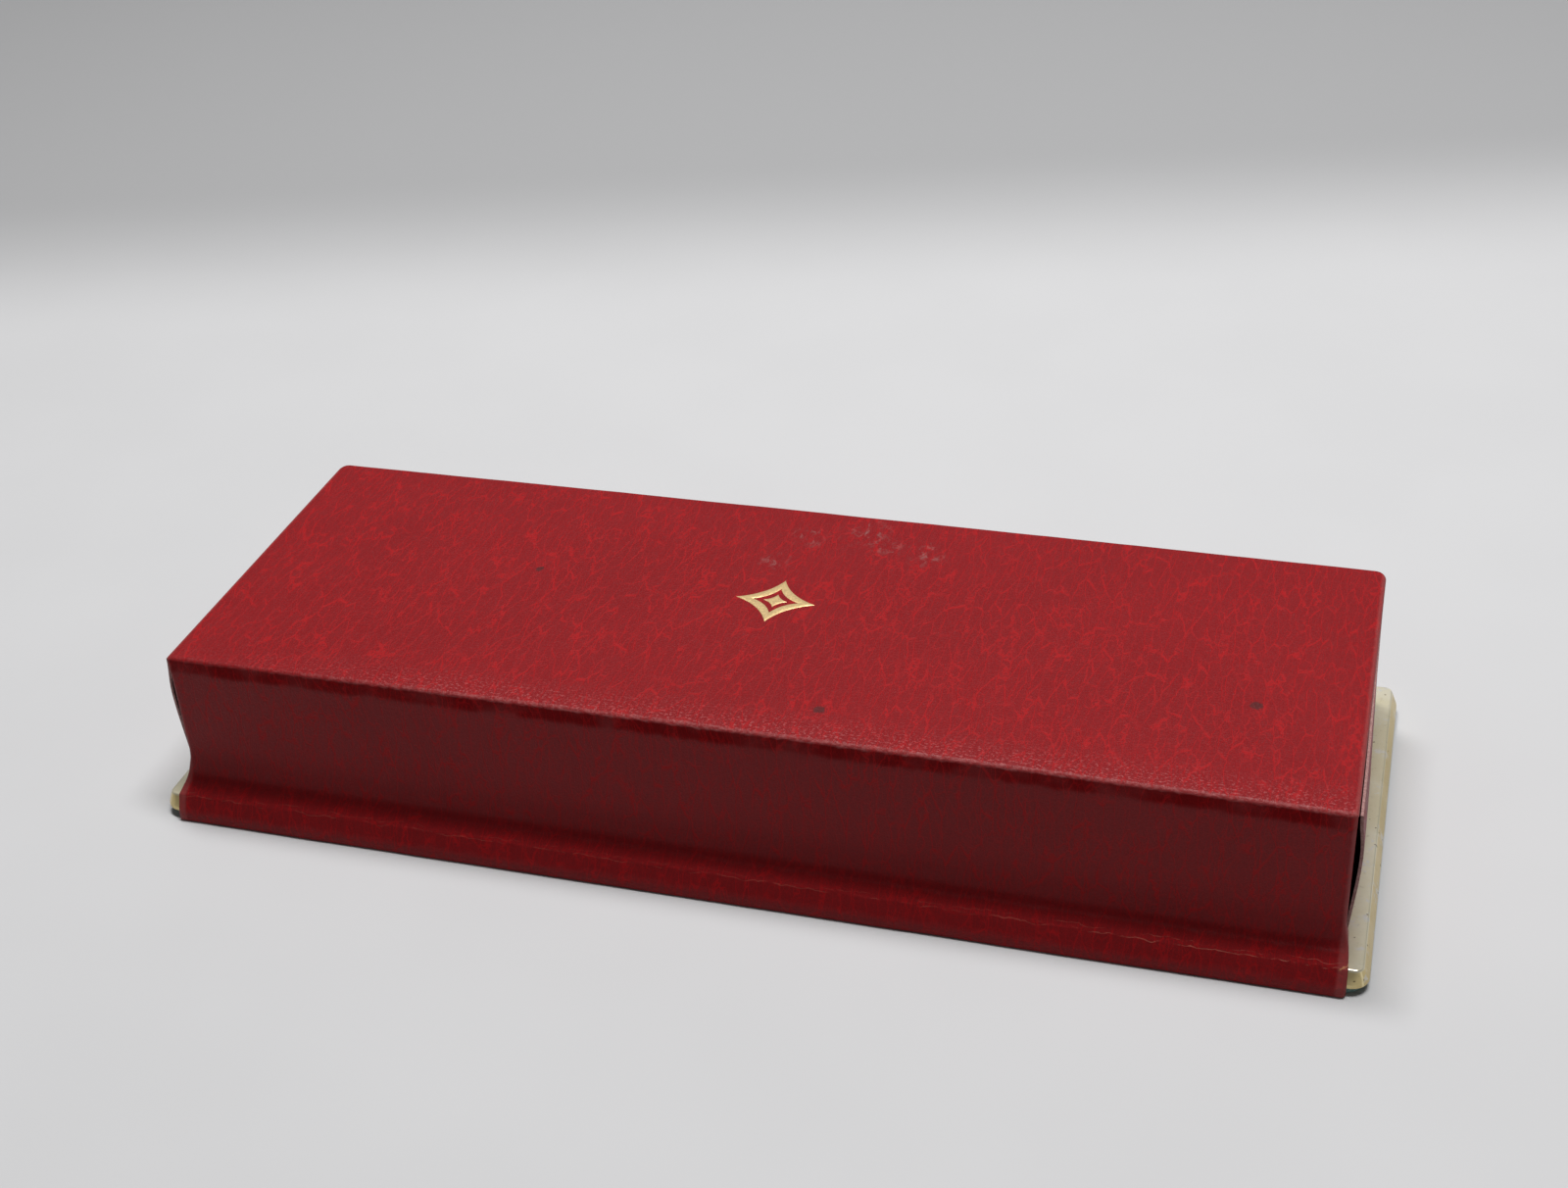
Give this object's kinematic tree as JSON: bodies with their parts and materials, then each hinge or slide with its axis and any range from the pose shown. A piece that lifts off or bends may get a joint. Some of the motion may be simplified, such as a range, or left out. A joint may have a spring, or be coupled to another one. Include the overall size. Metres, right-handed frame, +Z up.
{
  "type": "jewellery presentation case",
  "caption": "Long low leather-covered presentation case: book-hinged lid over a velvet-lined plinth on a gilt base pan.",
  "frame": {"origin": "centre of the closed case's footprint, on the surface it stands on", "axes": "+X along the case's length, +Y towards the hinge side with the opening front at -Y, +Z up"},
  "size_m": [0.219, 0.084, 0.0329],
  "materials": {
    "leather": "red embossed crackle-grain leather, semi-gloss",
    "gilt": "pale gilt pressed brass, tarnished and speckled",
    "foil": "stamped gold foil, slightly worn",
    "baize": "teal baize, matt",
    "board": "grey board, uncoated",
    "wood": "plain sawn softwood",
    "linen": "dark woven hinge cloth",
    "velvet": "ivory velvet, short pile",
    "satin": "ivory satin, soft sheen"
  },
  "bodies": {
    "base": {"underside_baize": "baize", "base_board": "board", "gilt_pan": "gilt", "hinge_leather": "leather", "hinge_cloth": "linen", "plinth_front": "wood", "plinth_rear": "wood", "plinth_left": "wood", "plinth_right": "wood", "well_velvet": "velvet", "bed_board": "board", "bed_pad": "velvet"},
    "spine": {"spine_board": "board", "spine_leather": "leather", "spine_lining": "satin"},
    "lid": {"lid_top_board": "board", "lid_front_board": "board", "lid_end_board_left": "board", "lid_end_board_right": "board", "lid_top_leather": "leather", "lid_wall_leather": "leather", "lid_pad_board": "board", "lid_pad": "satin", "ridge_cloth": "satin", "lid_lining_front": "satin", "lid_lining_left": "satin", "lid_lining_right": "satin", "foil_ornament": "foil"}
  },
  "joints": [
    {"name": "spine_fold", "type": "hinge", "parent": "base", "child": "spine", "pos_m": [0, 0.0386, 0.0055], "axis": [-1, 0, 0], "range_deg": [0, 105]},
    {"name": "lid_fold", "type": "hinge", "parent": "spine", "child": "lid", "pos_m": [0, 0.0353, 0.0323], "axis": [-1, 0, 0], "range_deg": [0, 75]}
  ]
}
